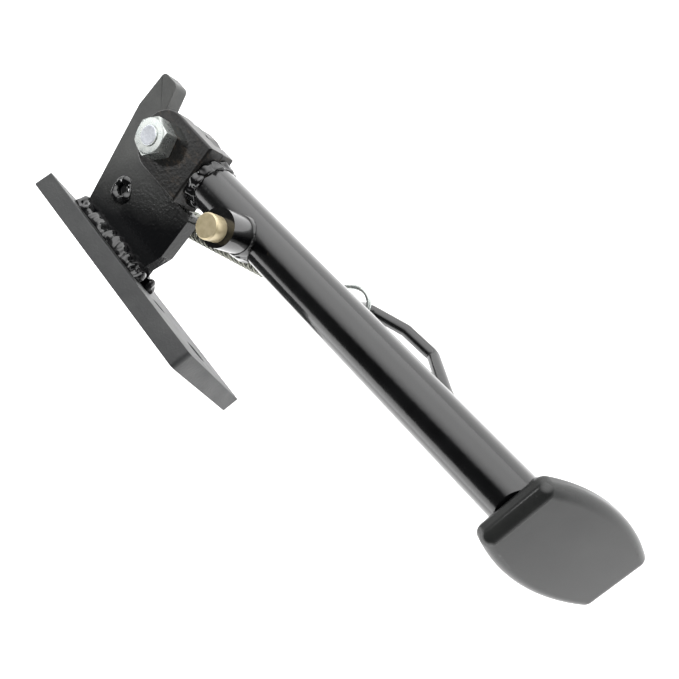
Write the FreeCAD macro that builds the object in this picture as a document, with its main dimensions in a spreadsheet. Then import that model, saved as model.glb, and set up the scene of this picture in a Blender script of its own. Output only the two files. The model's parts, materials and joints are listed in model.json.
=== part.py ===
"""Motorcycle side stand: a bolt-on mounting plate with a pivot bracket, and a swinging leg.

The origin is the middle of the two-bolt pattern, on the outer face of the mounting plate.
+X runs along the plate towards the foot of the folded leg.
+Z is parallel to the pivot bolt and points towards its nut.
+Y points away from the plate, the way the leg swings open.
All lengths are millimetres and all angles are degrees.
"""
import FreeCAD, Part
import Sketcher
import math
import os

from FreeCAD import Placement, Rotation, Vector

doc = FreeCAD.newDocument("SideStand")

# ---------------------------------------------------------------- driving sizes
sheet = doc.addObject("Spreadsheet::Sheet", "Sizes")
SIZES = [
    # mounting plate
    ("plate_length", 132), ("plate_width", 80), ("plate_thickness", 10), ("plate_corner", 3),
    ("plate_tilt", 25.6), ("bolt_spacing", 96), ("bolt_hole_dia", 13), ("bolt_end_margin", 20),
    ("locator_dia", 9), ("locator_back", 28), ("locator_side", 10),
    # where the pivot stands over the plate
    ("pivot_height", 62.3), ("pivot_behind", 22), ("bracket_offset", 17.3),
    # pivot bracket
    ("bracket_thickness", 8), ("bracket_rear", 24.5), ("arm_rear", 35.3), ("arm_tip_rear", 33.3),
    ("arm_reach", 27), ("arm_root", 9), ("shoulder_start", 13.5), ("shoulder_end", 33),
    ("bracket_front_drop", 42), ("bracket_front_foot", 28), ("bracket_corner", 3),
    ("nose_radius", 14.5), ("open_angle", 104),
    # pivot fasteners
    ("bolt_dia", 10), ("bolt_head_height", 6.4), ("hex_across_flats", 17), ("nut_height", 8),
    ("bolt_end_proud", 0.5), ("bush_dia", 14), ("bolt_clearance", 0.05), ("bush_clearance", 0.05),
    # clevis
    ("ear_gap", 0.35), ("ear_thickness", 8.8), ("ear_radius", 15.5), ("ear_length", 26.5),
    ("far_ear_radius", 14), ("far_ear_tail", 9), ("ear_edge", 1.2), ("block_start", 17.5),
    ("block_reach", 15.2), ("heel_reach", 17.2), ("stop_gap", 0.3),
    # leg tube
    ("tube_dia", 23), ("tube_wall", 3), ("leg_length", 240.5), ("leg_lean", 1.75),
    ("leg_drop", 0.55),
    # boss and its pin
    ("boss_along", 65), ("boss_side", 2.8), ("boss_dia", 17.6), ("boss_height", 26.2),
    ("pin_side", 3.8),
    ("pin_dia", 11.5), ("pin_proud", 6.8), ("pin_depth", 14), ("pin_edge", 0.6),
    # foot
    ("foot_length", 70), ("foot_width", 46), ("foot_end_width", 31), ("foot_thickness", 8.4),
    ("foot_tilt", 48), ("foot_twist", 2), ("foot_shift", 13.3), ("foot_side", 1.2),
    ("foot_corner", 5), ("foot_sole_edge", 4.4), ("foot_top_edge", 2),
    # spring and what it hooks to
    ("post_x", 11.5), ("post_y", 35.7), ("post_dia", 9), ("post_groove_dia", 8),
    ("post_groove_width", 3.4), ("post_head", 2.2), ("spring_dia", 15), ("spring_wire", 2.3),
    ("hook_plane", 21.15), ("hook_length", 15), ("hook_gap", 0.3), ("eye_radius", 8),
    ("end_turns", 5), ("coil_offset", 2.6),
    # foot lever
    ("lever_dia", 6), ("lever_start", 118), ("lever_height", 7.7), ("lever_out", 27.5),
    ("lever_bend_along", 139.5), ("lever_bend_height", 14), ("lever_peak_along", 156.5),
    ("lever_peak_height", 15), ("lever_end", 177), ("lever_end_height", 11.5),
    ("lever_bend_radius", 5),
    # weld beads
    ("bracket_weld_leg", 5), ("clevis_weld_leg", 5), ("boss_weld_leg", 1.5), ("foot_weld_leg", 2.5),
    ("plug_weld_height", 1),
]
for row, (alias, value) in enumerate(SIZES, start=1):
    sheet.set(f"A{row}", alias)
    sheet.set(f"B{row}", str(value))
    sheet.setAlias(f"B{row}", alias)
doc.recompute()
size = {alias: float(sheet.get(alias)) for alias, value in SIZES}

# The pivot, seen from the origin: across the tilted plate and up the bracket.
TILT = "(Sizes.plate_tilt * 1 deg)"
PIVOT = (
    "-Sizes.pivot_behind",
    f"Sizes.pivot_height + Sizes.bracket_offset * sin{TILT} + Sizes.plate_thickness * cos{TILT}",
    f"Sizes.bracket_offset * cos{TILT} - Sizes.plate_thickness * sin{TILT}",
)
tilt = math.radians(size["plate_tilt"])
pivot = Vector(
    -size["pivot_behind"],
    size["pivot_height"] + size["bracket_offset"] * math.sin(tilt)
    + size["plate_thickness"] * math.cos(tilt),
    size["bracket_offset"] * math.cos(tilt) - size["plate_thickness"] * math.sin(tilt),
)
TO_X = Rotation(Vector(0, 1, 0), 90)
LEAN = Rotation(Vector(0, 0, 1), size["leg_lean"])
BIG = 400.0


# ---------------------------------------------------------------- helpers
def S(text):
    """Write 'name + other' as an expression on the sheet's cells."""
    for alias in sorted(size, key=len, reverse=True):
        text = " ".join(f"Sizes.{alias}" if word == alias else word for word in text.split(" "))
    return text


def bind(piece, **cells):
    """Tie properties of a piece to the sheet."""
    for name, text in cells.items():
        piece.setExpression(name, S(text))
    return piece


def place(piece, x="0", y="0", z="0", turn=Rotation(), from_pivot=True):
    """Put a piece at a place measured from the pivot, or from the origin."""
    piece.Placement = Placement(Vector(0, 0, 0), turn)
    for axis, text, start in zip("xyz", (x, y, z), PIVOT if from_pivot else ("0", "0", "0")):
        piece.setExpression(f"Placement.Base.{axis}", f"{start} + ( {S(text)} )")
    return piece


def rod(name, radius, height, x="0", y="0", z="0", turn=Rotation(), from_pivot=True):
    piece = bind(doc.addObject("Part::Cylinder", name), Radius=radius, Height=height)
    return place(piece, x, y, z, turn, from_pivot)


def block(name, length, width, height, x="0", y="0", z="0", turn=Rotation(), from_pivot=True):
    piece = bind(doc.addObject("Part::Box", name), Length=length, Width=width, Height=height)
    return place(piece, x, y, z, turn, from_pivot)


def cut(name, base, *tools):
    """Take tools away from a base."""
    if len(tools) > 1:
        joined = doc.addObject("Part::MultiFuse", name + "_tools")
        joined.Shapes = list(tools)
        tools = (joined,)
    piece = doc.addObject("Part::Cut", name)
    piece.Base, piece.Tool = base, tools[0]
    return piece


def fuse(name, *parts):
    piece = doc.addObject("Part::MultiFuse", name)
    piece.Shapes = list(parts)
    return piece


def common(name, *parts):
    piece = doc.addObject("Part::MultiCommon", name)
    piece.Shapes = list(parts)
    return piece


def profile(body, name, corners):
    """A closed outline on the body's XY plane; each corner is a pair of expressions."""
    plane = next(f for f in body.Origin.OriginFeatures if f.Role == "XY_Plane")
    sketch = body.newObject("Sketcher::SketchObject", name)
    sketch.AttachmentSupport = (plane, [""])
    sketch.MapMode = "FlatFace"
    count = len(corners)
    spots = [Vector(math.cos(2 * math.pi * i / count), math.sin(2 * math.pi * i / count), 0)
             for i in range(count)]
    for i in range(count):
        sketch.addGeometry(Part.LineSegment(spots[i], spots[(i + 1) % count]), False)
    for i in range(count):
        sketch.addConstraint(Sketcher.Constraint("Coincident", i, 2, (i + 1) % count, 1))
    for i, (x, y) in enumerate(corners):
        for kind, text, start in (("DistanceX", x, spots[i].x), ("DistanceY", y, spots[i].y)):
            label = f"{kind}_{i}"
            index = sketch.addConstraint(Sketcher.Constraint(kind, i, 1, start))
            sketch.renameConstraint(index, label)
    for i, (x, y) in enumerate(corners):
        sketch.setExpression(f"Constraints.DistanceX_{i}", S(x))
        sketch.setExpression(f"Constraints.DistanceY_{i}", S(y))
    return sketch


def slab(name, corners, thickness):
    """A flat plate cut to an outline."""
    body = doc.addObject("PartDesign::Body", name)
    pad = body.newObject("PartDesign::Pad", name + "_pad")
    pad.Profile = profile(body, name + "_outline", corners)
    bind(pad, Length=thickness)
    doc.recompute()
    return body, pad


def round_edges(body, base, name, edges, radius):
    """Round the chosen edges of a body's last feature."""
    fillet = body.newObject("PartDesign::Fillet", name)
    fillet.Base = (base, edges)
    bind(fillet, Radius=radius)
    body.Tip = fillet
    doc.recompute()
    return fillet


def upright(shape, keep=lambda spot: True):
    """Names of the edges that run along Z and whose place is wanted."""
    found = []
    for number, edge in enumerate(shape.Edges, start=1):
        if edge.Curve.TypeId == "Part::GeomLine" and abs(edge.tangentAt(edge.FirstParameter).z) > 0.99:
            if keep(edge.CenterOfMass):
                found.append(f"Edge{number}")
    return found


def outline_edges(shape, height):
    """Names of the edges that lie flat at one height."""
    box = [(number, edge.BoundBox) for number, edge in enumerate(shape.Edges, start=1)]
    return [f"Edge{number}" for number, b in box
            if abs(b.ZMin - height) < 0.01 and abs(b.ZMax - height) < 0.01]


pieces = []


def finish(piece, label):
    """Name a sub-part and keep it for writing."""
    piece.Label = label
    pieces.append(piece)
    return piece


# ---------------------------------------------------------------- mounting plate
PLATE_TURN = Rotation(Vector(1, 0, 0), 90 - size["plate_tilt"])
FRONT = "bolt_spacing / 2 + bolt_end_margin"
BACK = "bolt_spacing / 2 + bolt_end_margin - plate_length"
plate_body, plate_pad = slab("PlateBlank", [
    (BACK, "- plate_width / 2"), (FRONT, "- plate_width / 2"),
    (FRONT, "plate_width / 2"), (BACK, "plate_width / 2")], "plate_thickness")
round_edges(plate_body, plate_pad, "PlateCorners", upright(plate_pad.Shape), "plate_corner")
place(plate_body, turn=PLATE_TURN, from_pivot=False)
# The outer face passes through the origin, so the blank is moved back by its thickness.
plate_body.setExpression("Placement.Base.y", f"Sizes.plate_thickness * cos{TILT}")
plate_body.setExpression("Placement.Base.z", f"-Sizes.plate_thickness * sin{TILT}")


def plate_hole(name, radius, along, across):
    """A hole through the plate, at a place measured on the plate's face."""
    hole = bind(doc.addObject("Part::Cylinder", name), Radius=radius, Height="plate_thickness * 3")
    hole.Placement = Placement(Vector(0, 0, 0), PLATE_TURN)
    hole.setExpression("Placement.Base.x", S(along))
    hole.setExpression("Placement.Base.y",
                       f"({S(across)}) * sin{TILT} + Sizes.plate_thickness * 2 * cos{TILT}")
    hole.setExpression("Placement.Base.z",
                       f"({S(across)}) * cos{TILT} - Sizes.plate_thickness * 2 * sin{TILT}")
    return hole


finish(cut("MountPlate", plate_body,
           plate_hole("FrontBoltHole", "bolt_hole_dia / 2", "bolt_spacing / 2", "0"),
           plate_hole("RearBoltHole", "bolt_hole_dia / 2", "- bolt_spacing / 2", "0"),
           plate_hole("LocatorHole", "locator_dia / 2", "bolt_spacing / 2 - locator_back",
                      "locator_side")), "mount_plate")


def plate_side(name):
    """Everything on the outer side of the plate's inner face, as one big block."""
    side = doc.addObject("Part::Box", name)
    side.Length, side.Width, side.Height = BIG, BIG, BIG
    inner = Placement(Vector(0, size["plate_thickness"] * math.cos(tilt),
                             -size["plate_thickness"] * math.sin(tilt)), PLATE_TURN)
    side.Placement = inner.multiply(Placement(Vector(-BIG / 2, -BIG / 2, 0), Rotation()))
    return side


# ---------------------------------------------------------------- pivot bracket
# The arm's front edge is the open stop: it lies flat on the clevis block at the open angle.
OPEN = "( open_angle * 1 deg )"


def arm(along):
    """A corner on the arm's stop edge, at a distance along it from the pivot's level."""
    reach = "( block_reach + stop_gap )"
    return (f"{reach} * -1 * sin{S(OPEN)} + ( {along} ) * cos{S(OPEN)}",
            f"{reach} * cos{S(OPEN)} + ( {along} ) * sin{S(OPEN)}")


FLOOR = "- pivot_height - bracket_thickness"
bracket_body, bracket_pad = slab("BracketBlank", [
    ("- bracket_rear", FLOOR),
    ("bracket_front_foot", FLOOR),
    ("bracket_front_foot", "- bracket_front_drop - 12"),
    ("shoulder_end", "- bracket_front_drop"),
    ("shoulder_end", "- heel_reach - stop_gap"),
    ("shoulder_start", "- heel_reach - stop_gap"),
    ("nose_radius * 0.5", "- nose_radius * 0.86"),
    ("0", "0"),
    ("- nose_radius * 0.57", "nose_radius * 0.81"),
    arm("arm_root"), arm("arm_reach"),
    ("- arm_tip_rear", "arm_reach * 0.845"),
    ("- arm_rear", "2"),
], "bracket_thickness")
stop_top = size["arm_reach"] * 0.7
round_edges(bracket_body, bracket_pad, "BracketCorners",
            upright(bracket_pad.Shape, lambda p: p.y > stop_top or p.x > size["shoulder_end"] - 1
                    and p.y > -size["pivot_height"] + 1), "bracket_corner")
place(bracket_body, z="- bracket_thickness / 2")
nose = rod("BracketNose", "nose_radius", "bracket_thickness", z="- bracket_thickness / 2")
pivot_hole = rod("BracketPivotHole", "bush_dia / 2 + bush_clearance", "bracket_thickness * 3",
                 z="- bracket_thickness * 1.5")
post_hole = rod("BracketPostHole", "post_dia / 2", "bracket_thickness * 3",
                "- post_x", "- post_y", "- bracket_thickness * 1.5")
finish(cut("PivotBracket", fuse("BracketPlate", bracket_body, nose),
           pivot_hole, post_hole, plate_side("BracketFloor")), "pivot_bracket")


def bracket_weld(name, side, label):
    """A fillet bead in the corner between the bracket and the plate."""
    bead = doc.addObject("Part::Cylinder", name)
    bind(bead, Radius="bracket_weld_leg", Height="bracket_rear + bracket_front_foot + 6")
    place(bead, "- bracket_rear - 3", turn=TO_X)
    bead.setExpression("Placement.Base.y", f"{PIVOT[1]} - Sizes.pivot_height + {side} * "
                       f"Sizes.bracket_thickness / 2 * tan{TILT}")
    bead.setExpression("Placement.Base.z", f"{PIVOT[2]} + {side} * Sizes.bracket_thickness / 2")
    inside = block(name + "_inside", "plate_length * 2", "pivot_height * 2", "bracket_thickness",
                   "- plate_length", "- pivot_height * 2", "- bracket_thickness / 2")
    return finish(cut(name + "_bead", bead, inside, plate_side(name + "_floor")), label)


bracket_weld("InnerBracketWeld", 1, "bracket_weld_inner")
bracket_weld("OuterBracketWeld", -1, "bracket_weld_outer")

# ---------------------------------------------------------------- spring post
POST_TOP = "bracket_thickness / 2 - plug_weld_height"
POST_END = "hook_plane + post_groove_width / 2 + post_head"
post = rod("PostBar", "post_dia / 2", f"{POST_TOP} + {POST_END}", "- post_x", "- post_y",
           f"- ( {POST_END} )")
groove_outer = rod("PostGrooveOuter", "post_dia", "post_groove_width", "- post_x", "- post_y",
                   "- hook_plane - post_groove_width / 2")
groove_core = rod("PostGrooveCore", "post_groove_dia / 2", "post_groove_width * 3", "- post_x",
                  "- post_y", "- hook_plane - post_groove_width * 1.5")
finish(cut("SpringPost", post, cut("PostGroove", groove_outer, groove_core)), "spring_post")
plug = rod("PlugWeldBead", "post_dia / 2", "plug_weld_height * 1.8", "- post_x", "- post_y",
           POST_TOP)
crater = rod("PlugWeldCrater", "post_dia / 5", "plug_weld_height", "- post_x", "- post_y",
             "bracket_thickness / 2")
finish(cut("SpringPostWeld", plug, crater), "spring_post_weld")

# ---------------------------------------------------------------- pivot bush, bolt and nut
EAR_IN = "bracket_thickness / 2 + ear_gap"
EAR_OUT = "bracket_thickness / 2 + ear_gap + ear_thickness"
bush = rod("BushBar", "bush_dia / 2", f"2 * ( {EAR_IN} )", z=f"- ( {EAR_IN} )")
bush_bore = rod("BushBore", "bolt_dia / 2 + bolt_clearance", "bracket_thickness * 3",
                z="- bracket_thickness * 1.5")
finish(cut("PivotBush", bush, bush_bore), "pivot_bush")


def hexagon(name, height, z):
    """A hexagonal bar across the pivot, with its corners turned off by a cone each side."""
    prism = doc.addObject("Part::Prism", name + "_hex")
    prism.Polygon = 6
    prism.setExpression("Circumradius", S("hex_across_flats / 2") + " / cos(30 deg)")
    bind(prism, Height=height)
    place(prism, z=z, turn=Rotation(Vector(0, 0, 1), 45))
    cone = doc.addObject("Part::Cone", name + "_turned")
    cone.setExpression("Radius1", S("hex_across_flats / 2 * 1.06 + ( " + height + " ) * 1.6"))
    bind(cone, Radius2="hex_across_flats / 2 * 0.97", Height=height)
    return prism, cone


head, head_cone = hexagon("BoltHead", "bolt_head_height",
                          f"- ( {EAR_OUT} ) - bolt_head_height")
place(head_cone, z=f"- ( {EAR_OUT} )", turn=Rotation(Vector(1, 0, 0), 180))
shank = rod("BoltShank", "bolt_dia / 2", f"2 * ( {EAR_OUT} ) + nut_height + bolt_end_proud",
            z=f"- ( {EAR_OUT} )")
finish(fuse("PivotBolt", common("BoltHeadTurned", head, head_cone), shank), "pivot_bolt")
nut, nut_cone = hexagon("Nut", "nut_height", EAR_OUT)
place(nut_cone, z=EAR_OUT)
nut_bore = rod("NutBore", "bolt_dia / 2", "nut_height * 3", z=f"{EAR_OUT} - nut_height")
finish(cut("PivotNut", common("NutTurned", nut, nut_cone), nut_bore), "pivot_nut")


# ---------------------------------------------------------------- clevis
def ear(name, z, reach, tail, outer_face, label):
    """One ear: a round end on the pivot, and a tail that may taper towards the tube."""
    body, pad = slab(name + "Blank", [
        (f"- {reach}", f"- {reach}"), ("bolt_dia / 2", f"- {reach}"), ("ear_length", f"- {tail}"),
        ("ear_length", tail), ("bolt_dia / 2", reach), (f"- {reach}", reach)], "ear_thickness")
    end = round_edges(body, pad, name + "RoundEnd", upright(pad.Shape, lambda p: p.x < -1),
                      f"{reach} - 0.01")
    round_edges(body, end, name + "Edge", outline_edges(end.Shape, outer_face), "ear_edge")
    place(body, z=z)
    hole = rod(name + "Hole", "bolt_dia / 2 + bolt_clearance", "ear_thickness * 3",
               z=f"{z} - ear_thickness")
    return finish(cut(name, body, hole), label)


ear("InnerEar", EAR_IN, "ear_radius", "ear_radius", size["ear_thickness"], "clevis_ear_inner")
ear("OuterEar", f"- ( {EAR_OUT} )", "far_ear_radius", "far_ear_tail", 0.0, "clevis_ear_outer")
finish(block("ClevisBlock", "ear_length - block_start", "block_reach + heel_reach",
             f"2 * ( {EAR_IN} )", "block_start", "- heel_reach", f"- ( {EAR_IN} )"), "clevis_block")

# ---------------------------------------------------------------- leg tube and foot
LEG_TURN = LEAN.multiply(TO_X)
foot_turn = Rotation(Vector(0, 1, 0), size["foot_tilt"]).multiply(
    Rotation(Vector(0, 0, 1), -size["foot_twist"]))
leg_way = LEAN.multVec(Vector(1, 0, 0))
sole_way = foot_turn.multVec(Vector(0, 0, 1))
leg_start = pivot + Vector(size["ear_length"], -size["leg_drop"], 0)
sole_hit = leg_start + leg_way * (size["leg_length"] - size["ear_length"])
sole_centre = sole_hit + foot_turn.multVec(Vector(size["foot_shift"], -size["foot_side"], 0))


def tube(name, radius):
    """A round bar on the leg's axis, longer than the leg at both ends."""
    return rod(name, radius, "leg_length + foot_length", "ear_length - tube_dia / 2",
               "- leg_drop - tube_dia / 2 * sin(Sizes.leg_lean * 1 deg)", turn=LEG_TURN)


def head_side(name):
    """Everything on the pivot's side of the tube's cut end."""
    return block(name, "ear_length * 2", "ear_radius * 6", "ear_radius * 6",
                 "- ear_length", "- ear_radius * 3", "- ear_radius * 3")


foot_side = doc.addObject("Part::Box", "FootSide")
foot_side.Length, foot_side.Width, foot_side.Height = BIG, BIG, BIG
foot_side.Placement = Placement(sole_centre - sole_way * size["foot_thickness"], foot_turn).multiply(
    Placement(Vector(-BIG / 2, -BIG / 2, 0), Rotation()))
finish(cut("LegTube", tube("TubeOutside", "tube_dia / 2"),
           tube("TubeInside", "tube_dia / 2 - tube_wall"), foot_side, head_side("TubeEnd")),
       "leg_tube")

clevis_cone = doc.addObject("Part::Cone", "ClevisWeldCone")
bind(clevis_cone, Radius1="tube_dia / 2 + 1.8", Radius2="tube_dia / 2 + 0.3",
     Height="clevis_weld_leg + 0.5")
place(clevis_cone, "ear_length - 0.5", "- leg_drop", turn=LEG_TURN)
finish(cut("ClevisWeld", clevis_cone, tube("ClevisWeldCore", "tube_dia / 2"),
           head_side("ClevisWeldBack")), "clevis_weld")

# The foot is a thick plate with straight ends and bowed sides, its edges rounded over.
half_length, half_width = size["foot_length"] / 2, size["foot_width"] / 2
bow = half_width - size["foot_end_width"] / 2
side_radius = (half_length ** 2 + bow ** 2) / (2 * bow)
foot_body = doc.addObject("PartDesign::Body", "FootBlank")
foot_sketch = foot_body.newObject("Sketcher::SketchObject", "FootOutline")
foot_plane = next(f for f in foot_body.Origin.OriginFeatures if f.Role == "XY_Plane")
foot_sketch.AttachmentSupport = (foot_plane, [""])
foot_sketch.MapMode = "FlatFace"
end = size["foot_end_width"] / 2
corners = [Vector(-half_length, -end, 0), Vector(half_length, -end, 0),
           Vector(half_length, end, 0), Vector(-half_length, end, 0)]
foot_sketch.addGeometry(Part.Arc(corners[0], Vector(0, -half_width, 0), corners[1]), False)
foot_sketch.addGeometry(Part.LineSegment(corners[1], corners[2]), False)
foot_sketch.addGeometry(Part.Arc(corners[2], Vector(0, half_width, 0), corners[3]), False)
foot_sketch.addGeometry(Part.LineSegment(corners[3], corners[0]), False)
foot_pad = foot_body.newObject("PartDesign::Pad", "FootPlate")
foot_pad.Profile = foot_sketch
bind(foot_pad, Length="foot_thickness")
doc.recompute()
foot_round = round_edges(foot_body, foot_pad, "FootCorners", upright(foot_pad.Shape), "foot_corner")
foot_sole = round_edges(foot_body, foot_round, "FootSoleEdge",
                        outline_edges(foot_round.Shape, size["foot_thickness"]), "foot_sole_edge")
foot_top = round_edges(foot_body, foot_sole, "FootTopEdge",
                       outline_edges(foot_sole.Shape, 0.0), "foot_top_edge")
foot_body.Placement = Placement(sole_centre - sole_way * size["foot_thickness"], foot_turn)
finish(foot_body, "foot_pad")

bead_slab = doc.addObject("Part::Box", "FootWeldSlab")
bead_slab.Length, bead_slab.Width = size["foot_length"] - 8, size["foot_width"]
bind(bead_slab, Height="foot_weld_leg")
bead_slab.Placement = Placement(
    sole_centre - sole_way * (size["foot_thickness"] + size["foot_weld_leg"]), foot_turn).multiply(
    Placement(Vector(4 - half_length, -half_width, 0), Rotation()))
finish(cut("FootWeld", common("FootWeldRing", tube("FootWeldBead", "tube_dia / 2 + foot_weld_leg"),
                              bead_slab), tube("FootWeldCore", "tube_dia / 2")), "foot_weld")

# ---------------------------------------------------------------- boss and stop pin
boss = rod("BossBar", "boss_dia / 2", "boss_height", "boss_along", "- boss_side")
pin_bore = rod("BossBore", "pin_dia / 2", "pin_depth * 2", "boss_along", "- pin_side",
               "boss_height - pin_depth")
finish(cut("StopBoss", boss, tube("BossSeat", "tube_dia / 2"), pin_bore), "stop_boss")
pin = rod("PinBar", "pin_dia / 2", "pin_depth + pin_proud - pin_edge", "boss_along",
          "- pin_side", "boss_height - pin_depth")
pin_tip = doc.addObject("Part::Cone", "PinTip")
bind(pin_tip, Radius1="pin_dia / 2", Radius2="pin_dia / 2 - pin_edge", Height="pin_edge")
place(pin_tip, "boss_along", "- pin_side", "boss_height + pin_proud - pin_edge")
finish(fuse("StopPin", pin, pin_tip), "stop_pin")
boss_cone = doc.addObject("Part::Cone", "BossWeldCone")
bind(boss_cone, Radius1="boss_dia / 2 + boss_weld_leg + 1", Radius2="boss_dia / 2 + 0.2",
     Height="tube_dia / 2 + boss_weld_leg - boss_side")
place(boss_cone, "boss_along", "- boss_side", "boss_side")
finish(cut("BossWeld", boss_cone, tube("BossWeldSeat", "tube_dia / 2"),
           rod("BossWeldCore", "boss_dia / 2", "boss_height", "boss_along", "- boss_side")),
       "boss_weld")

# ---------------------------------------------------------------- foot lever
# A round bar bent into a loop and welded to the tube at both ends.
route = [
    Vector(size["lever_start"], size["lever_height"] - 1.4, -size["tube_dia"] / 3),
    Vector(size["lever_start"], size["lever_height"], -size["lever_out"]),
    Vector(size["lever_bend_along"], size["lever_bend_height"], -size["lever_out"] - 0.5),
    Vector(size["lever_peak_along"], size["lever_peak_height"], -size["lever_out"] - 0.5),
    Vector(size["lever_end"], size["lever_end_height"], -size["tube_dia"] / 3),
]
route = [pivot + point for point in route]


def bent_bar(points, radius, bend):
    """A round bar along straight runs joined by arcs that touch both runs."""
    edges, start = [], points[0]
    for before, corner, after in zip(points, points[1:], points[2:]):
        one, two = (before - corner).normalize(), (after - corner).normalize()
        half = one.getAngle(two) / 2
        room = 0.45 * min((before - corner).Length, (after - corner).Length)
        back = min(bend / math.tan(half), room)
        reach = back / math.cos(half) - back * math.tan(half)
        first, last = corner + one * back, corner + two * back
        middle = corner + (one + two).normalize() * reach
        edges += [Part.LineSegment(start, first).toShape(), Part.Arc(first, middle, last).toShape()]
        start = last
    edges.append(Part.LineSegment(start, points[-1]).toShape())
    path = Part.Wire(edges)
    section = Part.Wire([Part.makeCircle(radius, points[0], points[1] - points[0])])
    return path.makePipeShell([section], True, True)


lever_bar = doc.addObject("Part::Feature", "LeverBar")
lever_bar.Shape = bent_bar(route, size["lever_dia"] / 2, size["lever_bend_radius"])
finish(cut("FootLever", lever_bar, tube("LeverSeat", "tube_dia / 2")), "foot_lever")


# ---------------------------------------------------------------- spring
# Post and lever are joined by the spring's axis; each hook ring bears on what it holds.
post_spot = pivot + Vector(-size["post_x"], -size["post_y"], 0)
lever_rise = (size["hook_plane"] - size["tube_dia"] / 3) / (size["lever_out"] - size["tube_dia"] / 3)
lever_spot = pivot + Vector(size["lever_start"], size["lever_height"] - 1.4 * (1 - lever_rise), 0)
spring_way = Vector(lever_spot.x - post_spot.x, lever_spot.y - post_spot.y, 0).normalize()
spring_turn = Rotation(Vector(0, 0, 1), math.degrees(math.atan2(spring_way.y, spring_way.x)))
coil_radius = (size["spring_dia"] - size["spring_wire"]) / 2
eye_inside = size["eye_radius"] - size["spring_wire"] / 2 - size["hook_gap"]
top_eye = post_spot + spring_way * (eye_inside - size["post_groove_dia"] / 2)
low_eye = lever_spot - spring_way * (eye_inside - size["lever_dia"] / 2)
hook_level = Vector(0, 0, -size["hook_plane"])
coil_level = Vector(0, 0, -size["hook_plane"] - coil_radius)


def hook(name, centre, way, label):
    """A round eye in the plane of the spring's axis, and the straight wire that leads to the coil."""
    eye = bind(doc.addObject("Part::Torus", name + "Eye"), Radius1="eye_radius",
               Radius2="spring_wire / 2")
    eye.Placement = Placement(centre + hook_level, Rotation())
    wire = bind(doc.addObject("Part::Cylinder", name + "Wire"), Radius="spring_wire / 2",
                Height="hook_length - eye_radius")
    turn = TO_X if way.dot(spring_way) > 0 else Rotation(Vector(0, 1, 0), -90)
    wire.Placement = Placement(centre + hook_level + way * size["eye_radius"],
                               spring_turn.multiply(turn))
    return finish(fuse(name, eye, wire), label)


def coil(name, start, finish_at, label):
    """A length of the coil, as a sleeve of the coil's outside and inside size."""
    outside = bind(doc.addObject("Part::Cylinder", name + "Outside"), Radius="spring_dia / 2")
    inside = bind(doc.addObject("Part::Cylinder", name + "Inside"),
                  Radius="spring_dia / 2 - spring_wire")
    for bar in (outside, inside):
        bar.Height = (finish_at - start).Length
        bar.Placement = Placement(start, spring_turn.multiply(TO_X))
    return finish(cut(name, outside, inside), label)


hook("UpperHook", top_eye, spring_way, "spring_upper_hook")
hook("LowerHook", low_eye, spring_way * -1, "spring_lower_hook")
# The coil hangs a little to the plate's side of the line between its eyes.
coil_shift = spring_way.cross(Vector(0, 0, 1)) * size["coil_offset"]
coil_start = top_eye + spring_way * size["hook_length"] + coil_level + coil_shift
coil_end = low_eye - spring_way * size["hook_length"] + coil_level + coil_shift
last_turns = coil_end - spring_way * size["end_turns"]
coil("SpringCoil", coil_start, last_turns, "spring_coil")
coil("SpringCoilEnd", last_turns, coil_end, "spring_coil_end")

# ---------------------------------------------------------------- check and write
doc.recompute()
for thing in doc.Objects:
    if {"Invalid", "Error"} & set(thing.State):
        raise RuntimeError(f"{thing.Name} did not build: {thing.State}")
os.makedirs("parts", exist_ok=True)
for piece in pieces:
    shape = piece.Shape
    if shape.isNull() or not shape.isValid() or not shape.Solids:
        raise RuntimeError(f"{piece.Label} has no sound solid")
    shape.exportStep(f"parts/{piece.Label}.step")
    print(f"{piece.Label}: {len(shape.Solids)} solid, {shape.Volume:.0f} mm3")

# How the spring follows the leg between its two ends of travel.
swing = math.radians(size["open_angle"])
start, held = post_spot - pivot, lever_spot - pivot
opened = Vector(held.x * math.cos(swing) - held.y * math.sin(swing),
                held.x * math.sin(swing) + held.y * math.cos(swing), 0)
turned = math.atan2(opened.y - start.y, opened.x - start.x) - math.atan2(spring_way.y, spring_way.x)
stretch = (opened - start).Length - (held - start).Length
print(f"pivot {pivot}, post {post_spot}, lever {lever_spot}, spring way {spring_way}")
print(f"swing ratio {turned / swing:.5f}, stretch {stretch:.3f} mm, per radian {stretch / swing:.4f}")
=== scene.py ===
# %% [markdown]
# # A bolt-on side stand, dressed for a portrait
#
# The stand is welded mild steel: a mounting plate, a bracket, and a leg of tube with a forked
# head. The shop paints it gloss black after welding, and then fits the plated parts: bolt, nut,
# pin, spring. Every piece below starts from the frame, so its place is already right. What is
# left is surface.

# %% The frame and its size
import json
import math

import bpy
from mathutils import Matrix, Vector, noise


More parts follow.
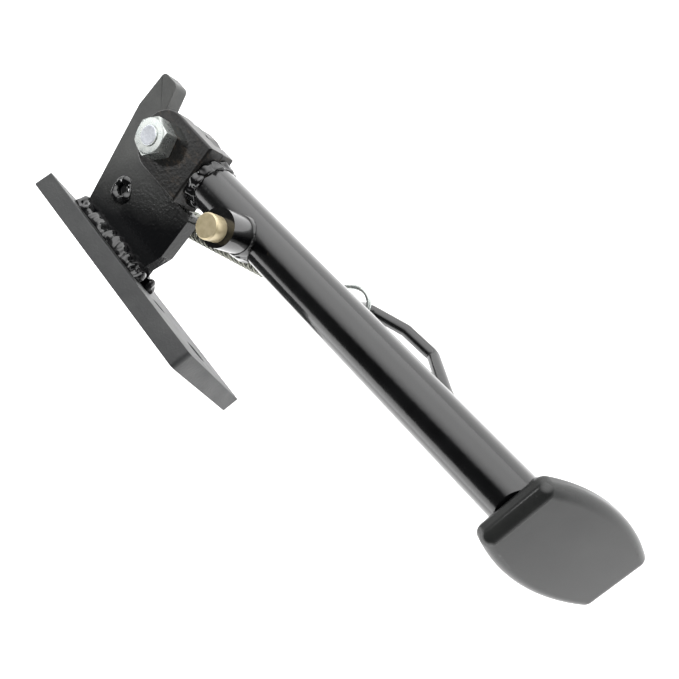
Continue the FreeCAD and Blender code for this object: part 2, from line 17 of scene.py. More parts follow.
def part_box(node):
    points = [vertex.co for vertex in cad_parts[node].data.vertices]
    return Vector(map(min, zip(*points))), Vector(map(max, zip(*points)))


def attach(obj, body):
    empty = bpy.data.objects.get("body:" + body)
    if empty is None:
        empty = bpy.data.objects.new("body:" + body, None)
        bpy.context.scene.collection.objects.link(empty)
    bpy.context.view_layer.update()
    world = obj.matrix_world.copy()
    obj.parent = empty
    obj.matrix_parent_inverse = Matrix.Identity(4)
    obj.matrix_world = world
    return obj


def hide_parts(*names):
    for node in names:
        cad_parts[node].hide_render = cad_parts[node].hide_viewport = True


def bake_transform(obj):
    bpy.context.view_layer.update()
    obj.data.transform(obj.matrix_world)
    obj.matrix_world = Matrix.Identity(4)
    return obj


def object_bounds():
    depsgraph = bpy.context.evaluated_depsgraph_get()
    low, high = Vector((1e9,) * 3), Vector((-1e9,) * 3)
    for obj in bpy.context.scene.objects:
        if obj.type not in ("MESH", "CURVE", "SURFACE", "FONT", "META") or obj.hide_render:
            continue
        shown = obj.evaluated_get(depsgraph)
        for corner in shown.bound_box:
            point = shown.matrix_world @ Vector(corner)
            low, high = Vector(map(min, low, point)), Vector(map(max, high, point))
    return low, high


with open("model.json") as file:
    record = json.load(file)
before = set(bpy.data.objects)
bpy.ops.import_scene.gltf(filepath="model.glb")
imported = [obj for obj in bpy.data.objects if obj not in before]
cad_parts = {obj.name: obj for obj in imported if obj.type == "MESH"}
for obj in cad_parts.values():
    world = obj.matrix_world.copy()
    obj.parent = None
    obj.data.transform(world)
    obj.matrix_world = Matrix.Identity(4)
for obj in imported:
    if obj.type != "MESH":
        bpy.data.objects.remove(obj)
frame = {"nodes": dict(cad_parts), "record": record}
cad_low, cad_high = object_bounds()
MM = 0.001  # the frame is in metres, and a maker thinks in millimetres
joints = {joint["name"]: joint for joint in frame["record"]["behaviour"]["joints"]}
PIVOT = Vector(joints["leg_hinge"]["pos_m"])
print("pivot", PIVOT, "box", cad_low, cad_high)

# %% [markdown]
# ## The camera
#
# The stand is seen from above, over its leg, with the nut's side of the pivot facing up. The
# lens is a moderate wide angle, held near, and the foot is the closer end, which is why it
# looks large. The three directions are the camera's own right, up and back, written as rows and
# turned into its rotation.

# %% Camera
CAMERA_FROM_PIVOT = Vector((214.2, 65.2, 227.2)) * MM
CAMERA_RIGHT = (0.6279, 0.6480, -0.4313)
CAMERA_UP = (-0.7017, 0.7110, 0.0469)
CAMERA_BACK = (0.3367, 0.2731, 0.9010)
CAMERA_AXES = Matrix((CAMERA_RIGHT, CAMERA_UP, CAMERA_BACK))
SENSOR_WIDTH_MM, LENS_MM = 36.0, 31.65
NEAREST_SEEN = 10 * MM
camera_data = bpy.data.cameras.new("portrait_camera")
camera_data.sensor_width = SENSOR_WIDTH_MM
camera_data.lens = LENS_MM
camera_data.clip_start = NEAREST_SEEN
camera = bpy.data.objects.new("portrait_camera", camera_data)
camera.rotation_mode = "QUATERNION"
camera.rotation_quaternion = CAMERA_AXES.transposed().to_quaternion()
camera.location = PIVOT + CAMERA_FROM_PIVOT
bpy.context.scene.collection.objects.link(camera)
bpy.context.scene.camera = camera
print("camera", round(CAMERA_FROM_PIVOT.length / MM), "mm from the pivot")

# %% [markdown]
# ## Helpers
#
# Operators act on whatever is selected, so each step starts from a clean selection. A copy of a
# frame node arrives as loose triangles, so its doubles are merged before anything is done to
# it.


# %% Selection and copying
MERGE_WITHIN = 0.01 * MM


def only(piece):
    """Select one object and nothing else."""
    bpy.ops.object.select_all(action="DESELECT")
    piece.select_set(True)
    bpy.context.view_layer.objects.active = piece
    return piece


def in_edit_mode(piece, *steps):
    """Run steps on all of a piece's mesh in edit mode."""
    only(piece)
    bpy.ops.object.mode_set(mode="EDIT")
    bpy.ops.mesh.select_all(action="SELECT")
    for step in steps:
        step()
    bpy.ops.object.mode_set(mode="OBJECT")
    return piece


def copy_node(node, name):
    """A welded copy of a frame node."""
    piece = bpy.data.objects.new(name, frame["nodes"][node].data.copy())
    bpy.context.scene.collection.objects.link(piece)
    piece.data.materials.clear()
    return in_edit_mode(piece, lambda: bpy.ops.mesh.remove_doubles(threshold=MERGE_WITHIN),
                        lambda: bpy.ops.mesh.normals_make_consistent(inside=False))


def apply(piece, kind, **settings):
    """Add a modifier, set it and apply it."""
    only(piece)
    modifier = piece.modifiers.new(kind.lower(), kind)
    for key, value in settings.items():
        setattr(modifier, key, value)
    bpy.ops.object.modifier_apply(modifier=modifier.name)
    return piece


def settle(piece, body, slot, material, *nodes):
    """Freeze a piece's place into its mesh, give it its finish and let it ride."""
    only(piece)
    bpy.ops.object.transform_apply(location=True, rotation=True, scale=True)
    piece.data.materials.clear()
    piece.data.materials.append(material)
    if body:
        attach(piece, body)
    if nodes:
        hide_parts(*nodes)
    print(piece.name, len(piece.data.polygons), "faces")


# %% [markdown]
# ## Finishes
#
# Colours are written as sRGB hex, the way a paint chart gives them, and turned to linear by one
# function. One more function adds a shader node with its settings and links. A pattern is given
# the size of its features in millimetres, because that is how grain and peel are known on real
# paint. A height that is too small to catch the light is drawn a few times deeper.


# %% Colour and shader helpers
def chart(code):
    """A paint-chart hex colour as linear RGBA."""
    parts = [int(code[start_at:start_at + 2], 16) / 255 for start_at in (1, 3, 5)]
    linear = [part / 12.92 if part <= 0.04045 else ((part + 0.055) / 1.055) ** 2.4
              for part in parts]
    return linear + [1.0]


def add(tree, kind, links=(), **settings):
    """Add a node. A setting is a property or an input's value; a link is (input, source)."""
    node = tree.nodes.new(kind)
    for key, value in settings.items():
        if hasattr(node, key):
            setattr(node, key, value)
            continue
        wanted = key.replace("_", " ").lower()
        label = next(socket.name for socket in node.inputs if socket.name.lower() == wanted)
        node.inputs[label].default_value = value
    for socket, source in links:
        tree.links.new(source, node.inputs[socket])
    return node


def ramp(tree, source, stops):
    """A colour ramp with (position, colour) stops."""
    node = add(tree, "ShaderNodeValToRGB", [("Fac", source)])
    while len(node.color_ramp.elements) < len(stops):
        node.color_ramp.elements.new(0.5)
    for element, (position, colour) in zip(node.color_ramp.elements, stops):
        element.position, element.color = position, colour
    return node


def grey(value):
    """A neutral linear tone, also used as a plain number in a ramp."""
    return (value, value, value, 1.0)


def every(size_mm):
    """Noise scale, on coordinates in metres, for features of about this size."""
    return 1000 / size_mm


def start(name):
    """A new material and what every finish needs: its tree, shader and place on the object."""
    material = bpy.data.materials.new(name)
    material.use_nodes = True
    tree = material.node_tree
    shader = tree.nodes["Principled BSDF"]
    place = add(tree, "ShaderNodeTexCoord").outputs["Object"]
    return material, tree, shader, place


# %% [markdown]
# ### Gloss black enamel
#
# The tube and the welds wear a thick, wet-looking alkyd enamel, sprayed on. It lies in a faint
# orange peel about 2 mm across, and 3 mm on the welds, with small dust nibs in it. It reads as
# black glass with soft reflections. Its gloss is a clear coat over the colour, as the resin
# lies over the pigment.


# %% Gloss enamel
ENAMEL_BLACK, ENAMEL_PALER = "#050506", "#0e0f10"
PEEL_DRAWN_DEEPER = 8
ALKYD_IOR, COAT_WEIGHT, COAT_ROUGHNESS = 1.52, 0.6, 0.05


def gloss_enamel(name, peel_mm=2.2, peel_depth=0.012, rough=(0.14, 0.24), nibs=0.02):
    """Black glass with a faint orange peel, sparse dust nibs and a clear coat."""
    material, tree, shader, place = start(name)
    cloud = add(tree, "ShaderNodeTexNoise", [("Vector", place)], scale=every(9.0), detail=3.0)
    tone = ramp(tree, cloud.outputs["Fac"],
                [(0.3, chart(ENAMEL_BLACK)), (0.8, chart(ENAMEL_PALER))])
    tree.links.new(tone.outputs["Color"], shader.inputs["Base Color"])
    sheen = add(tree, "ShaderNodeMapRange", [("Value", cloud.outputs["Fac"])],
                to_min=rough[0], to_max=rough[1])
    tree.links.new(sheen.outputs["Result"], shader.inputs["Roughness"])
    peel = add(tree, "ShaderNodeTexNoise", [("Vector", place)], scale=every(peel_mm), detail=1.0)
    dust = add(tree, "ShaderNodeTexVoronoi", [("Vector", place)], scale=every(3.5))
    nib = ramp(tree, dust.outputs["Distance"], [(0.0, grey(1.0)), (0.09, grey(0.0))])
    low = add(tree, "ShaderNodeBump", [("Height", peel.outputs["Fac"])],
              distance=peel_depth * MM * PEEL_DRAWN_DEEPER, strength=0.5)
    high = add(tree, "ShaderNodeBump",
               [("Height", nib.outputs["Color"]), ("Normal", low.outputs["Normal"])],
               distance=nibs * MM, strength=0.6)
    tree.links.new(high.outputs["Normal"], shader.inputs["Normal"])
    shader.inputs["IOR"].default_value = ALKYD_IOR
    shader.inputs["Coat Weight"].default_value = COAT_WEIGHT
    shader.inputs["Coat Roughness"].default_value = COAT_ROUGHNESS
    return material


ENAMEL = gloss_enamel("gloss_black_enamel")
WELD_ENAMEL = gloss_enamel("gloss_enamel_on_weld", peel_mm=3.0, peel_depth=0.006,
                           rough=(0.05, 0.12), nibs=0.05)
print("enamels", ENAMEL.name, WELD_ENAMEL.name)

# %% [markdown]
# ### Satin black on plate steel
#
# The plate, bracket and ears were sawn from hot-rolled bar. The same paint lies thinner on them
# and shows the mill scale: a fine grain, a greyer tone and a few small pits. The real grain is
# about 0.7 mm across and is drawn twice as coarse, so that it shows. Low on the bracket, by its
# weld, the colour is painted black, a painted shade, and the paint is made glossier there. The
# ears are rubbed brown where they turn in use. The foot has the smoothest coat of the four.


# %% Where the bracket's painted shade lies
EDGE_WANDER_MM = 12.0


def above_line(tree, place, slope, shade_mm, clear_mm):
    """0 by the weld, where the painted shade lies, to 1 above a sloping line, with a wandering
    edge.
    """
    parts = add(tree, "ShaderNodeSeparateXYZ", [("Vector", place)])
    fall = add(tree, "ShaderNodeMath", [(0, parts.outputs["X"])], operation="MULTIPLY")
    fall.inputs[1].default_value = -slope
    level = add(tree, "ShaderNodeMath", [(0, fall.outputs[0]), (1, parts.outputs["Y"])],
                operation="ADD")
    edge = add(tree, "ShaderNodeTexNoise", [("Vector", place)], scale=every(11.0), detail=4.0)
    wander = add(tree, "ShaderNodeMath", [(0, edge.outputs["Fac"])], operation="MULTIPLY")
    wander.inputs[1].default_value = EDGE_WANDER_MM * MM
    total = add(tree, "ShaderNodeMath", [(0, level.outputs[0]), (1, wander.outputs[0])],
                operation="ADD")
    middle_mm = EDGE_WANDER_MM / 2
    return add(tree, "ShaderNodeMapRange", [("Value", total.outputs[0])],
               from_min=(shade_mm + middle_mm) * MM,
               from_max=(clear_mm + middle_mm) * MM).outputs["Result"]


# %% Satin paint over mill scale
# The black by the bracket's weld is painted shade: its colour turns black low down, by the weld.
RUBBED_BROWN, PAINTED_SHADE_BLACK, BY_WELD_ROUGHNESS = "#6b5a48", "#0b0c0e", 0.14
GRAIN_DRAWN_DEEPER = 6
SATIN_IOR, PIT_DEPTH = 1.5, 0.06 * MM


def satin_scale(name, dark, pale, rough=(0.36, 0.55), grain_mm=1.5, depth=0.04, scuffs=0.0,
                shade_gloss_line=None):
    """Patchy satin black with grain and pits, rubbed by scuffs, and painted shade, glossier, below
    a line.
    """
    material, tree, shader, place = start(name)
    patch = add(tree, "ShaderNodeTexNoise", [("Vector", place)], scale=every(14.0), detail=5.0)
    tone = ramp(tree, patch.outputs["Fac"], [(0.30, chart(dark)), (0.75, chart(pale))])
    colour = tone.outputs["Color"]
    if scuffs:
        stretched = add(tree, "ShaderNodeMapping", [("Vector", place)], Scale=(0.35, 1.0, 1.0))
        rub = add(tree, "ShaderNodeTexNoise", [("Vector", stretched.outputs["Vector"])],
                  scale=every(2.6), detail=6.0, roughness=0.7)
        worn = ramp(tree, rub.outputs["Fac"], [(0.52, grey(0.0)), (0.74, grey(scuffs))])
        mix = add(tree, "ShaderNodeMix", data_type="RGBA")
        tree.links.new(worn.outputs["Color"], mix.inputs["Factor"])
        tree.links.new(colour, mix.inputs["A"])
        mix.inputs["B"].default_value = chart(RUBBED_BROWN)
        colour = mix.outputs["Result"]
    sheen = add(tree, "ShaderNodeMapRange", [("Value", patch.outputs["Fac"])],
                to_min=rough[1], to_max=rough[0]).outputs["Result"]
    # Below the line the colour is painted shade, black, and the roughness is lower.
    if shade_gloss_line:
        unshaded = above_line(tree, place, *shade_gloss_line)
        paint = add(tree, "ShaderNodeMix", [("Factor", unshaded), ("B", colour)], data_type="RGBA")
        paint.inputs["A"].default_value = chart(PAINTED_SHADE_BLACK)
        colour = paint.outputs["Result"]
        sheen = add(tree, "ShaderNodeMix", [("Factor", unshaded), ("B", sheen)],
                    A=BY_WELD_ROUGHNESS).outputs["Result"]
    tree.links.new(colour, shader.inputs["Base Color"])
    tree.links.new(sheen, shader.inputs["Roughness"])
    grain = add(tree, "ShaderNodeTexNoise", [("Vector", place)], scale=every(grain_mm),
                detail=3.0)
    low = add(tree, "ShaderNodeBump", [("Height", grain.outputs["Fac"])],
              distance=depth * MM * GRAIN_DRAWN_DEEPER, strength=0.6)
    pits = add(tree, "ShaderNodeTexVoronoi", [("Vector", place)], scale=every(5.0))
    pit = ramp(tree, pits.outputs["Distance"], [(0.0, grey(0.0)), (0.10, grey(1.0))])
    high = add(tree, "ShaderNodeBump",
               [("Height", pit.outputs["Color"]), ("Normal", low.outputs["Normal"])],
               distance=PIT_DEPTH, strength=0.7)
    tree.links.new(high.outputs["Normal"], shader.inputs["Normal"])
    shader.inputs["IOR"].default_value = SATIN_IOR
    return material


PLATE_PAINT = satin_scale("satin_black_on_plate", "#2c2d2e", "#3b3c3c")
# The bracket's paint goes black low down by its weld: painted shade.
BRACKET_PAINT = satin_scale("satin_black_on_bracket", "#4c4d4c", "#5c5d5b",
                            shade_gloss_line=(0.55, 46, 84))
EAR_PAINT = satin_scale("scuffed_black_on_ears", "#0b0b0b", "#171614", rough=(0.24, 0.40),
                        scuffs=0.35)
FOOT_PAINT = satin_scale("satin_black_on_foot", "#1f2020", "#2a2b2a", rough=(0.18, 0.25),
                         grain_mm=1.6, depth=0.006)
print("satins", PLATE_PAINT.name, BRACKET_PAINT.name, EAR_PAINT.name, FOOT_PAINT.name)

# %% [markdown]
# ### Plated steel
#
# Zinc plate is a cool, slightly cloudy mirror; the yellow kind is dipped again and turns a pale
# brass. The metal keeps the default IOR, and the cloudiness comes from roughness that wanders.
# The passive film on the nut, the bolt's end and the pin is dull enough to look partly like
# paint, so their metallic value is below 1. The grain is finer than 0.5 mm and is drawn at that
# size.


# %% Zinc plate, clear and yellow
ZINC_DRAWN_DEEPER = 5


def zinc_plate(name, dark, pale, rough, cloud_mm=3.0, depth=0.01, metal=1.0):
    """A cloudy plated metal: its tone and its sheen wander together."""
    material, tree, shader, place = start(name)
    cloud = add(tree, "ShaderNodeTexNoise", [("Vector", place)], scale=every(cloud_mm),
                detail=4.0)
    tone = ramp(tree, cloud.outputs["Fac"], [(0.35, chart(dark)), (0.7, chart(pale))])
    tree.links.new(tone.outputs["Color"], shader.inputs["Base Color"])
    sheen = add(tree, "ShaderNodeMapRange", [("Value", cloud.outputs["Fac"])],
                to_min=rough[0], to_max=rough[1])
    tree.links.new(sheen.outputs["Result"], shader.inputs["Roughness"])
    grain = add(tree, "ShaderNodeTexNoise", [("Vector", place)], scale=every(0.5), detail=2.0)
    bump = add(tree, "ShaderNodeBump", [("Height", grain.outputs["Fac"])],
               distance=depth * MM * ZINC_DRAWN_DEEPER, strength=0.4)
    tree.links.new(bump.outputs["Normal"], shader.inputs["Normal"])
    shader.inputs["Metallic"].default_value = metal
    return material


ZINC = zinc_plate("bright_zinc_plate", "#aab0ae", "#d3d6d2", (0.22, 0.34), metal=0.85)
BOLT_END = zinc_plate("dull_zinc_on_bolt_end", "#cfd3da", "#e6e9ef", (0.38, 0.55), cloud_mm=1.4,
                      metal=0.5)
# The coil's zinc is darker than the nut's; the spring's eyes, the same wire, wear the nut's
# brighter zinc, a painted highlight.
SPRING_ZINC = zinc_plate("bright_zinc_on_spring", "#6d706a", "#a09f94", (0.2, 0.34), cloud_mm=4.0)
YELLOW_ZINC = zinc_plate("yellow_zinc_plate", "#beb08c", "#d2c4a2", (0.24, 0.36), metal=0.45)
BUSH_STEEL = zinc_plate("turned_bush_steel", "#6f7072", "#8b8d8f", (0.3, 0.45))
print("metals", ZINC.name, BOLT_END.name, SPRING_ZINC.name, YELLOW_ZINC.name, BUSH_STEEL.name)

# %% [markdown]
# ## Sawn plate with eased edges
#
# The plate, the bracket and the stop block are flat bar with the sharp edge knocked off by a
# grinder and filled by paint, and the nut's corners are eased a little by its plating. A bevel
# on the merged copy catches the light the way such an edge does. Weighted normals then keep the
# broad faces flat, so that only the narrow bevel turns the light.


# %% Plate, bracket, block and nut
FLAT_WITHIN, EDGE_ABOVE, SMOOTH_BELOW = math.radians(1.0), math.radians(35), math.radians(50)


def eased(node, name, width_mm, segments=3):
    """A copy of a frame node with its edges bevelled and its flat faces shaded flat."""
    piece = copy_node(node, name)
    in_edit_mode(piece, lambda: bpy.ops.mesh.dissolve_limited(angle_limit=FLAT_WITHIN))
    apply(piece, "BEVEL", width=width_mm * MM, segments=segments, limit_method="ANGLE",
          angle_limit=EDGE_ABOVE, harden_normals=False)
    only(piece)
    bpy.ops.object.shade_smooth_by_angle(angle=SMOOTH_BELOW)
    return apply(piece, "WEIGHTED_NORMAL", keep_sharp=True, weight=100)


for node, name, width_mm, segments, body, slot, material in (
        ("mount_plate", "mounting_plate", 0.7, 3, "bracket", "black_paint", PLATE_PAINT),
        ("pivot_bracket", "bracket_plate", 0.7, 3, "bracket", "black_paint", BRACKET_PAINT),
        ("clevis_block", "stop_block", 0.8, 3, "leg", "black_paint", EAR_PAINT),
        ("pivot_nut", "hex_nut", 0.25, 2, "leg", "zinc_steel", ZINC)):
    settle(eased(node, name, width_mm, segments), body, slot, material, node)

# %% [markdown]
# The rest of the stand is tube, round bar and turned parts. Their shape in the frame is already
# the real one, so they keep it and only get their finish.

# %% Frame nodes that keep their shape
for node, material in (("leg_tube", ENAMEL), ("stop_boss", ENAMEL), ("foot_lever", ENAMEL),
                       ("clevis_ear_inner", EAR_PAINT), ("clevis_ear_outer", EAR_PAINT),
                       ("spring_post", ENAMEL), ("pivot_bush", BUSH_STEEL), ("pivot_bolt", ZINC),
                       ("stop_pin", YELLOW_ZINC), ("foot_pad", FOOT_PAINT)):
    for slot in frame["nodes"][node].material_slots:
        slot.material = material

# %% [markdown]
# ## Weld beads
#
# A stick weld freezes in overlapping ripples, and paint rounds them over. Each bead starts as
# the frame's plain fillet, is remeshed to an even skin, and every point is pushed out along its
# normal by a ripple that repeats along the run and by a slower lumpiness. The noise behind both
# is a fixed function of the place, so each run gives the same bead.


# %% Ripples on a bead
RUN_DRIFT = 0.45  # how far the ripples fall out of step, in ripples
RIPPLE_LEVEL = 0.45  # the height of a ripple that lies on the fillet's own surface
DRIFT_SIZE_MM, LUMP_SIZE_MM = 3.1, 4.5
ROUND_BELOW = math.radians(60)


def rippled(piece, run, pitch_mm, ripple_mm, lump_mm, swell_mm, smooth, seed, voxel_mm=0.45):
    """Remesh a bead and ripple it along run, a function from a place to a distance in mm."""
    only(piece)
    piece.data.remesh_voxel_size = voxel_mm * MM
    bpy.ops.object.voxel_remesh()
    normals = [vertex.normal.copy() for vertex in piece.data.vertices]
    for vertex, normal in zip(piece.data.vertices, normals):
        spot = vertex.co / MM
        drift = noise.noise(spot / DRIFT_SIZE_MM + Vector((seed, 0, 0)))
        wave = abs(math.sin(math.pi * (run(spot) / pitch_mm + RUN_DRIFT * drift)))
        lump = noise.noise(spot / LUMP_SIZE_MM + Vector((0, seed, 7.0)))
        vertex.co += normal * MM * (swell_mm + ripple_mm * (wave - RIPPLE_LEVEL) + lump_mm * lump)
    apply(piece, "SMOOTH", factor=0.5, iterations=smooth)
    bpy.ops.object.shade_smooth_by_angle(angle=ROUND_BELOW)
    return piece


def along_x(spot):
    """Distance travelled along the plate, for a straight bead."""
    return spot.x


def around(centre, axis, radius_mm):
    """Distance travelled round an axis, for a bead that closes on itself."""
    side = axis.orthogonal().normalized()
    other = axis.cross(side)

    def run(spot):
        arm = spot - centre / MM
        return math.atan2(arm.dot(other), arm.dot(side)) * radius_mm

    return run


LEG_TILT = math.radians(1.75)
LEG_WAY = Vector((math.cos(LEG_TILT), math.sin(LEG_TILT), 0))
UP = Vector((0, 0, 1))
low, high = (Vector(corner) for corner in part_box("stop_boss"))
ROUND_HEAD = around(PIVOT, LEG_WAY, 11.5)
ROUND_BOSS = around((low + high) / 2, UP, 9.0)
ROUND_ANKLE = around(PIVOT, LEG_WAY, 13.0)

# %% Beads from the frame's fillets
# Each row: frame node, piece, body, run, then the ripples' pitch and height, the lumps' height
# and the swell in mm, the rounds of smoothing and the seed.
for node, name, body, run, *sizes in (
        ("bracket_weld_inner", "bracket_bead_near", "bracket", along_x, 6.5, 1.2, 2.6, 1.1, 5, 2.0),
        ("bracket_weld_outer", "bracket_bead_far", "bracket", along_x, 6.0, 0.9, 1.6, 0.5, 5, 5.0),
        ("clevis_weld", "head_bead", "leg", ROUND_HEAD, 7.0, 0.8, 1.2, 0.3, 6, 9.0),
        ("boss_weld", "barrel_bead", "leg", ROUND_BOSS, 7.0, 0.2, 0.4, 0.0, 8, 3.0),
        ("foot_weld", "foot_bead", "leg", ROUND_ANKLE, 5.0, 0.3, 0.5, 0.0, 6, 4.0)):
    bead = rippled(copy_node(node, name), run, *sizes)
    settle(bead, body, "black_paint", WELD_ENAMEL, node)

# %% [markdown]
# The post is plug-welded through the bracket. That leaves a ring of bead round a dark crater,
# so it starts as a torus, squashed a little and rippled in the same way as the others.

# %% Plug weld
PLUG_RING, PLUG_BEAD = 4.5 * MM, 2.0 * MM
PLUG_SQUASH = (1.0, 1.12, 0.62)
low, high = (Vector(corner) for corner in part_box("spring_post_weld"))
PLUG_CENTRE = Vector(((low.x + high.x) / 2, (low.y + high.y) / 2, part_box("pivot_bracket")[1][2]))
bpy.ops.object.select_all(action="DESELECT")
bpy.ops.mesh.primitive_torus_add(major_radius=PLUG_RING, minor_radius=PLUG_BEAD,
                                 major_segments=64, minor_segments=20, location=PLUG_CENTRE)
plug = bpy.context.object
plug.name = "plug_bead"
plug.scale = PLUG_SQUASH
bpy.ops.object.transform_apply(location=True, rotation=True, scale=True)
rippled(plug, around(PLUG_CENTRE, UP, 4.0), 8.0, 0.5, 1.1, 0.0, 5, 6.0, voxel_mm=0.3)
settle(plug, "bracket", "black_paint", WELD_ENAMEL, "spring_post_weld")

# %% [markdown]
# ## The return spring
#
# The spring is drawn wire, 2.3 mm thick, wound to 15 mm outside, with a turned-up eye at each
# end. The coil is a small circle swept by a screw modifier, one sweep for all its turns. It runs
# between the post's end and the lever's end. The eyes are smooth curves with a round bevel,
# because wire is bent, not built.

# %% The coil
WIRE = 2.3 * MM
COIL_RADIUS = 6.35 * MM
COIL_PITCH = 3.55 * MM
COIL_OFFSET = 2.6 * MM  # the coil hangs a little to one side of its eyes
HOOK_LENGTH = 15.0 * MM
HOOK_GAP = 0.3 * MM
POST_GROOVE_RADIUS, LEVER_RADIUS = 4.0 * MM, 3.0 * MM
SPRING_WAY = Vector(joints["spring_stretch"]["axis"]).normalized()
SPRING_SIDE = Vector((-SPRING_WAY.y, SPRING_WAY.x, 0))
POST = Vector(joints["spring_hinge"]["pos_m"])
BAR = Vector(joints["hook_turn"]["pos_m"])
EYE = 8.0 * MM
HOOK_LEVEL = Vector((0, 0, -21.15 * MM))
COIL_LEVEL = Vector((0, 0, -27.5 * MM)) - SPRING_SIDE * COIL_OFFSET
GRIP = EYE - WIRE / 2 - HOOK_GAP
TOP_EYE = POST + SPRING_WAY * (GRIP - POST_GROOVE_RADIUS)
LOW_EYE = BAR - SPRING_WAY * (GRIP - LEVER_RADIUS)
COIL_START = TOP_EYE + SPRING_WAY * HOOK_LENGTH + COIL_LEVEL
COIL_END = LOW_EYE - SPRING_WAY * HOOK_LENGTH + COIL_LEVEL
coil_length = (COIL_END - COIL_START).length
TURNS = round(coil_length / COIL_PITCH)
print("coil", round(coil_length / MM, 1), "mm in", TURNS, "turns")

bpy.ops.object.select_all(action="DESELECT")
bpy.ops.mesh.primitive_circle_add(vertices=12, radius=WIRE / 2, location=(0, 0, 0),
                                  rotation=(math.radians(90), 0, 0))
coil = bpy.context.object
coil.name = "spring_turns"
bpy.ops.object.transform_apply(location=True, rotation=True, scale=True)
in_edit_mode(coil, lambda: bpy.ops.transform.translate(value=(COIL_RADIUS, 0, 0)))
apply(coil, "SCREW", angle=math.radians(360), screw_offset=(coil_length - WIRE) / TURNS,
      iterations=TURNS, steps=28, render_steps=28, axis="Z", use_merge_vertices=False)
in_edit_mode(coil, lambda: bpy.ops.mesh.remove_doubles(threshold=MERGE_WITHIN / 10),
             lambda: bpy.ops.mesh.normals_make_consistent(inside=False))
Z_TO_X = Matrix(((0, 0, 1), (0, 1, 0), (-1, 0, 0)))
turn = Matrix((SPRING_WAY, SPRING_SIDE, UP)).transposed() @ Z_TO_X
coil.matrix_world = Matrix.Translation(COIL_START + SPRING_WAY * WIRE / 2) @ turn.to_4x4()
only(coil)
bpy.ops.object.shade_smooth_by_angle(angle=ROUND_BELOW)
settle(coil, None, "zinc_steel", SPRING_ZINC, "spring_coil", "spring_coil_end")
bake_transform(coil)


# %% The eyes
EYE_DEGREES = range(90, -200, -24)


def bent_wire(name, body, node, centre, way, side):
    """Wire from the coil's outside, rising over and round an eye."""
    curve = bpy.data.curves.new(name, "CURVE")
    curve.dimensions = "3D"
    curve.bevel_depth = WIRE / 2
    curve.bevel_resolution = 4
    curve.use_fill_caps = True
    spline = curve.splines.new("NURBS")
    base = centre + COIL_LEVEL - way * HOOK_LENGTH
    lift = HOOK_LEVEL - COIL_LEVEL
    points = [base - way * WIRE + side * COIL_RADIUS,
              base + way * 2 * MM + side * COIL_RADIUS,
              base + way * 8 * MM + side * EYE * 0.95 + lift * 0.55]
    for degrees in EYE_DEGREES:
        angle = math.radians(degrees)
        on_eye = way * math.cos(angle) + side * math.sin(angle)
        points.append(centre + HOOK_LEVEL + EYE * on_eye)
    spline.points.add(len(points) - 1)
    for point, spot in zip(spline.points, points):
        point.co = (*spot, 1.0)
    spline.order_u = 4
    spline.use_endpoint_u = True
    spline.resolution_u = 6
    piece = bpy.data.objects.new(name, curve)
    bpy.context.scene.collection.objects.link(piece)
    only(piece)
    bpy.ops.object.convert(target="MESH")
    bpy.ops.object.shade_smooth_by_angle(angle=ROUND_BELOW)
    # The eyes wear the nut's brighter zinc, not the coil's darker one: a painted highlight on the
    # same wire.
    settle(piece, body, "zinc_steel", ZINC, node)


bent_wire("spring_eye_on_post", "spring_swing", "spring_upper_hook", TOP_EYE, -SPRING_WAY,
          SPRING_SIDE)
bent_wire("spring_eye_on_lever", "spring_hook", "spring_lower_hook", LOW_EYE, SPRING_WAY,
          SPRING_SIDE)

# %% [markdown]
# ## The bolt's end
#
# The bolt comes just proud of its nut, and its end is faced in a lathe: a flat disc, duller
# than the nut, with a rounded rim. It is a short bar with its rim bevelled and a shallow dish
# inset in it.

# %% Bolt end
END_RADIUS, END_LENGTH, END_SUNK = 4.85 * MM, 1.6 * MM, 0.5 * MM
RIM_WIDTH, DISH_DEPTH = 0.7 * MM, 0.15 * MM
low, high = (Vector(corner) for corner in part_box("pivot_bolt"))
end_height = high.z
bpy.ops.object.select_all(action="DESELECT")
bpy.ops.mesh.primitive_cylinder_add(vertices=48, radius=END_RADIUS, depth=END_LENGTH,
                                    location=(PIVOT.x, PIVOT.y, end_height - END_SUNK))
tip = bpy.context.object
tip.name = "bolt_end_face"
apply(tip, "BEVEL", width=RIM_WIDTH, segments=4, limit_method="ANGLE",
      angle_limit=math.radians(40))
bpy.ops.object.transform_apply(location=True, rotation=True, scale=True)
bpy.ops.object.mode_set(mode="EDIT")
bpy.ops.mesh.select_mode(type="FACE")
bpy.ops.mesh.select_all(action="DESELECT")
bpy.ops.object.mode_set(mode="OBJECT")
for face in tip.data.polygons:
    face.select = face.normal.z > 0.99
bpy.ops.object.mode_set(mode="EDIT")
bpy.ops.mesh.inset(thickness=RIM_WIDTH)
bpy.ops.transform.translate(value=(0, 0, -DISH_DEPTH))
bpy.ops.object.mode_set(mode="OBJECT")
bpy.ops.object.shade_smooth_by_angle(angle=math.radians(35))
settle(tip, "leg", "zinc_steel", BOLT_END)

# %% [markdown]
# ## The studio
#
# A white sweep lies under the stand, lit past paper white, so that it leaves no shadow and
# shows as a pale rim in the gloss paint. One small hard-edged box stands where the nut's face
# mirrors it.

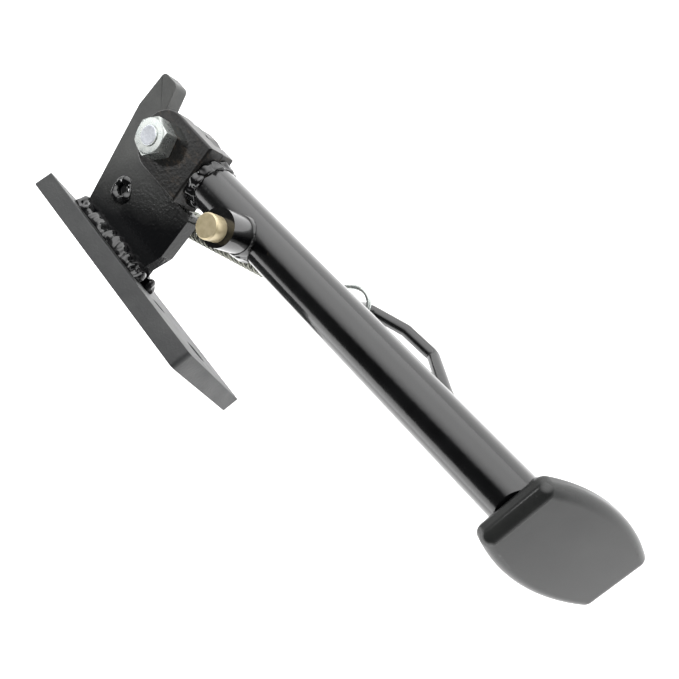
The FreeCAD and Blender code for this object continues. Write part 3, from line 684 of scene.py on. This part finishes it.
# %% Floor
FLOOR_LEVEL = cad_low[2] - 120 * MM
FLOOR_SIZE, FLOOR_GLOW = 8.0, 0.95
bpy.ops.object.select_all(action="DESELECT")
bpy.ops.mesh.primitive_plane_add(size=FLOOR_SIZE, location=(0.05, 0.05, FLOOR_LEVEL))
floor = bpy.context.object
floor.name = "white_sweep"
paper, tree, shader, place = start("white_paper")
fibre = add(tree, "ShaderNodeTexNoise", [("Vector", place)], scale=60.0, detail=3.0)
tone = ramp(tree, fibre.outputs["Fac"], [(0.3, chart("#f4f4f4")), (0.7, chart("#ffffff"))])
tree.links.new(tone.outputs["Color"], shader.inputs["Base Color"])
shader.inputs["Roughness"].default_value = 0.9
shader.inputs["Emission Color"].default_value = (1, 1, 1, 1)
shader.inputs["Emission Strength"].default_value = FLOOR_GLOW
floor.data.materials.append(paper)
print("floor", round(FLOOR_LEVEL / MM), "mm")


# %% A lamp
def softbox(name, way, distance, size, power):
    """A rectangular area light that stands off from the pivot along way and looks back at it."""
    data = bpy.data.lights.new(name, "AREA")
    data.shape = "RECTANGLE"
    data.size, data.size_y = size
    data.energy = power
    lamp = bpy.data.objects.new(name, data)
    aim = Vector(way).normalized()
    lamp.location = PIVOT + aim * distance
    lamp.rotation_euler = (-aim).to_track_quat("-Z", "Y").to_euler()
    bpy.context.scene.collection.objects.link(lamp)
    print(name, power, "W")


softbox("nut_box", (-0.70, -0.16, 0.69), distance=1.2, size=(0.09, 0.09), power=0.55)

# %% [markdown]
# The room is pale at the horizon and dark overhead, where the camera hangs. One wide soft
# window is let into it, high on the leg's side, and a low white card stands on the plate's
# side. Gloss paint shows them all: a grey band on the side that faces the window, a black band
# under the dark, and a pale rim over the card.

# %% The room and its window
WINDOW_WAY = (-0.25, 0.75, 0.61)
CARD_WAY = (0.0, -1.0, 0.0)
ROOM_STRENGTH = 4.0
world = bpy.data.worlds.new("studio_room")
world.use_nodes = True
tree = world.node_tree
way = add(tree, "ShaderNodeTexCoord").outputs["Generated"]
height = add(tree, "ShaderNodeSeparateXYZ", [("Vector", way)]).outputs["Z"]
walls = ramp(tree, height,
             [(0.0, grey(0.32)), (0.18, grey(0.18)), (0.42, grey(0.02)), (1.0, grey(0.01))])
card_top = ramp(tree, height, [(0.44, grey(1.0)), (0.52, grey(0.0))])
facing = add(tree, "ShaderNodeVectorMath", [(0, way)], operation="DOT_PRODUCT")
facing.inputs[1].default_value = WINDOW_WAY
window = ramp(tree, facing.outputs["Value"],
              [(0.58, grey(0.0)), (0.74, grey(0.36)), (0.95, grey(0.66))])
towards = add(tree, "ShaderNodeVectorMath", [(0, way)], operation="DOT_PRODUCT")
towards.inputs[1].default_value = CARD_WAY
card_width = ramp(tree, towards.outputs["Value"], [(0.35, grey(0.0)), (0.6, grey(0.5))])
card = add(tree, "ShaderNodeMix",
           [("A", card_top.outputs["Color"]), ("B", card_width.outputs["Color"])],
           data_type="RGBA", blend_type="MULTIPLY", Factor=1.0)
room = walls.outputs["Color"]
for part in (window.outputs["Color"], card.outputs["Result"]):
    room = add(tree, "ShaderNodeMix", [("A", room), ("B", part)], data_type="RGBA",
               blend_type="ADD", Factor=1.0).outputs["Result"]
tree.links.new(room, tree.nodes["Background"].inputs["Color"])
tree.nodes["Background"].inputs["Strength"].default_value = ROOM_STRENGTH
bpy.context.scene.world = world
bpy.context.scene.view_settings.view_transform = "Standard"
